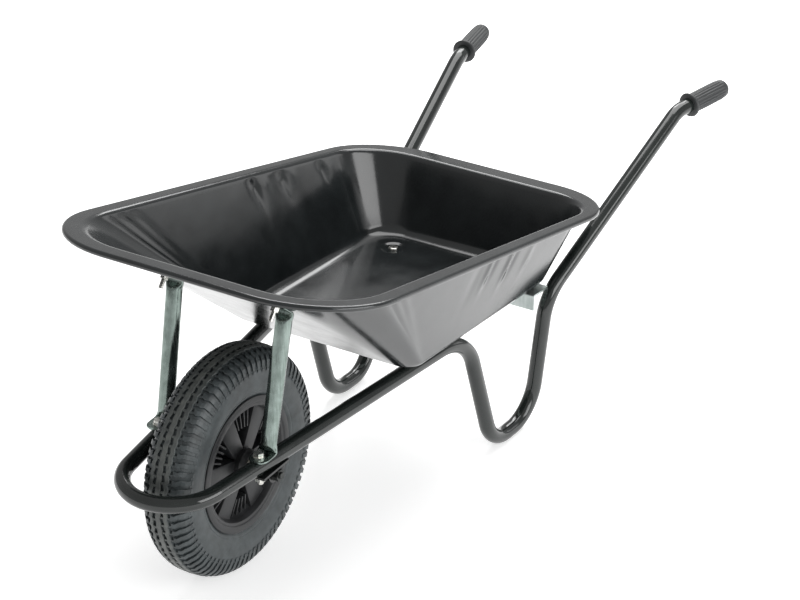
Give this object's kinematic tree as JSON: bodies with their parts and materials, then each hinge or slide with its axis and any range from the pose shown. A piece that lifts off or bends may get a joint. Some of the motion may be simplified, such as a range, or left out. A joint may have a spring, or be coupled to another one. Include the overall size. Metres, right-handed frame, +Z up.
{
  "type": "wheelbarrow",
  "caption": "builder's wheelbarrow: bent-tube steel frame with front hoop and looped legs, sloping pressed steel tray, stays, spoked plastic rim with pneumatic tyre, rubber grips",
  "frame": {"origin": "on the ground under the middle of the bounding box", "axes": "+Z up; the wheel is toward -Y and the handles toward +Y; the wheel axle and the left-right mirror direction are along X"},
  "size_m": [0.6144, 1.4917, 0.5985],
  "materials": {
    "frame_paint": "black gloss paint on steel tube",
    "tray_paint": "black gloss enamel on pressed sheet steel",
    "bracket_paint": "black gloss paint on steel plate",
    "grip_rubber": "grey-black moulded rubber, ribbed lengthwise",
    "zinc_plate": "zinc plated steel strip",
    "zinc_tube": "bright zinc plated steel tube",
    "zinc_fixings": "bright zinc plated hexagon and round head fixings",
    "axle_steel": "dark plated steel bar and nuts",
    "spacer_steel": "dark plated steel tube",
    "rim_plastic": "black moulded plastic",
    "bush_nylon": "natural nylon",
    "tyre_rubber": "black tyre rubber, slightly dusty",
    "tube_rubber": "black butyl rubber",
    "cap_plastic": "black plastic"
  },
  "bodies": {
    "frame": {"front_tube": "frame_paint", "leg_tube_right": "frame_paint", "leg_tube_left": "frame_paint", "handle_tube_right": "frame_paint", "handle_tube_left": "frame_paint", "grip_right": "grip_rubber", "grip_left": "grip_rubber", "rear_cross_brace": "zinc_plate", "tray": "tray_paint", "stay_right": "zinc_tube", "stay_left": "zinc_tube", "stay_tray_bolts": "zinc_fixings", "stay_tray_washers": "zinc_fixings", "stay_tray_nuts": "zinc_fixings", "stay_foot_bolts": "zinc_fixings", "stay_foot_washers": "zinc_fixings", "stay_foot_nuts": "zinc_fixings", "tray_floor_bolts": "zinc_fixings", "tray_floor_washers": "zinc_fixings", "tray_floor_nuts": "zinc_fixings", "axle_bracket_right": "bracket_paint", "axle_bracket_left": "bracket_paint", "axle": "axle_steel", "axle_spacers": "spacer_steel", "axle_washers": "axle_steel", "axle_nuts": "axle_steel"},
    "wheel": {"wheel_rim": "rim_plastic", "hub_bush_right": "bush_nylon", "hub_bush_left": "bush_nylon", "tyre": "tyre_rubber", "inner_tube": "tube_rubber", "valve_stem": "tube_rubber", "valve_cap": "cap_plastic"}
  },
  "joints": [
    {"name": "wheel_spin", "type": "hinge", "parent": "frame", "child": "wheel", "pos_m": [0, -0.5, 0.2], "axis": [1, 0, 0], "continuous": true}
  ]
}
